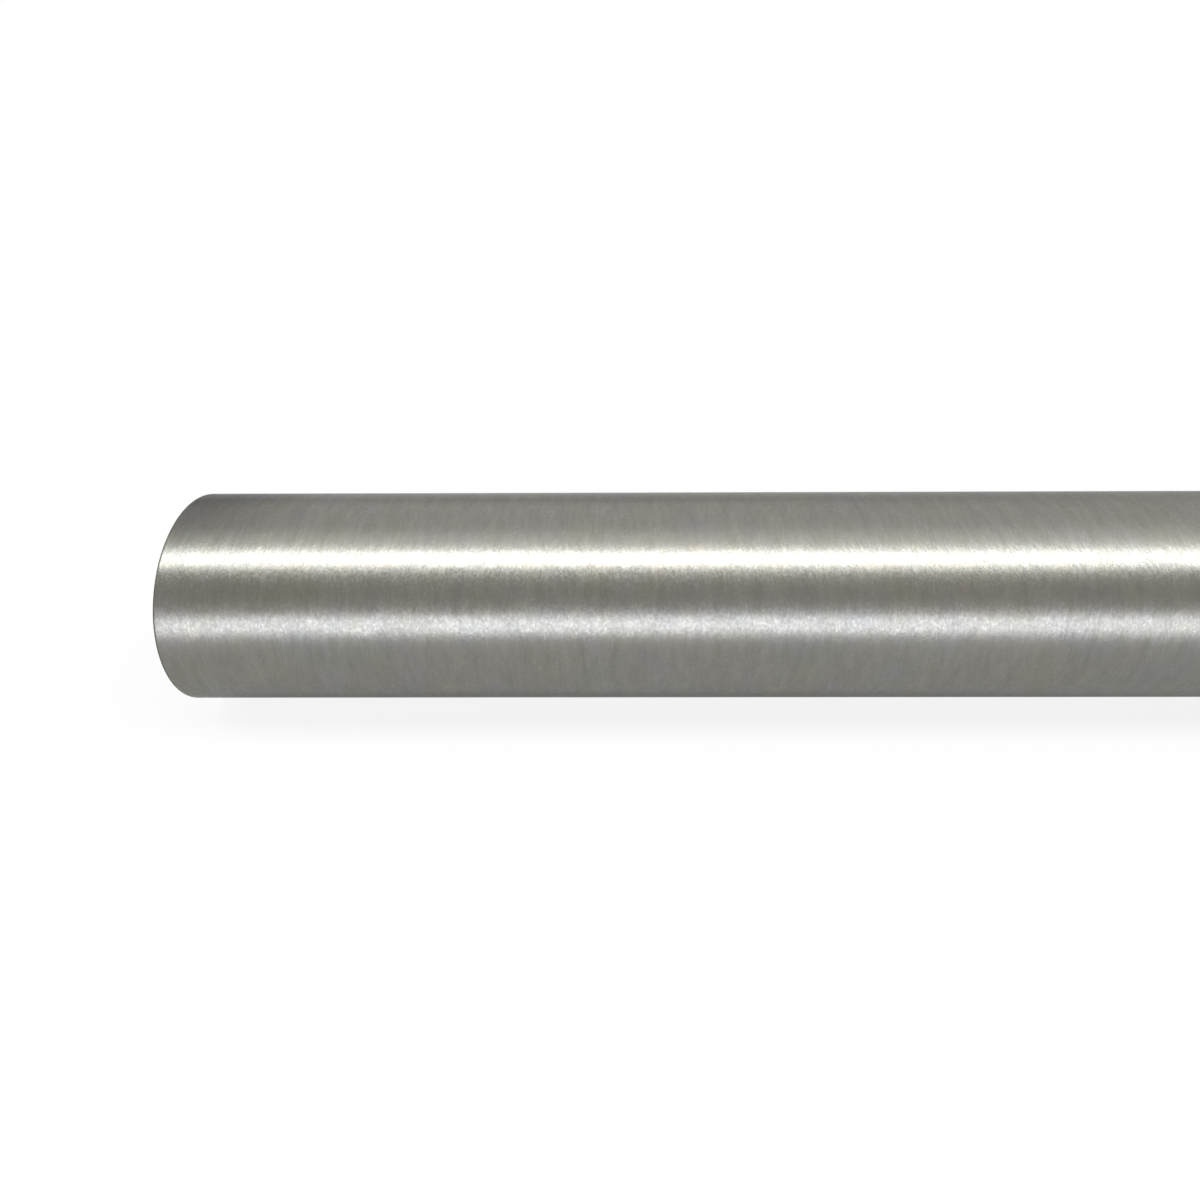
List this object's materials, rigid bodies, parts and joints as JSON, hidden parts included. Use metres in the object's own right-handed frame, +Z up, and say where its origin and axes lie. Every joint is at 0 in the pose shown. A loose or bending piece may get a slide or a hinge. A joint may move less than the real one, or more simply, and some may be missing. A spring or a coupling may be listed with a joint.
{
  "type": "curtain pole",
  "caption": "Round metal curtain pole: a straight length of brushed steel tube, hollow all the way through, with square sawn and deburred open ends.",
  "frame": {"origin": "middle of the tube's axis, halfway between its two ends", "axes": "+X along the pole's axis, +Z up; the pole lies level, as it is stored"},
  "size_m": [1.2, 0.028, 0.028],
  "materials": {
    "brushed_steel": "brushed around the tube, satin"
  },
  "bodies": {
    "root": {"pole_tube": "brushed_steel"}
  },
  "joints": []
}
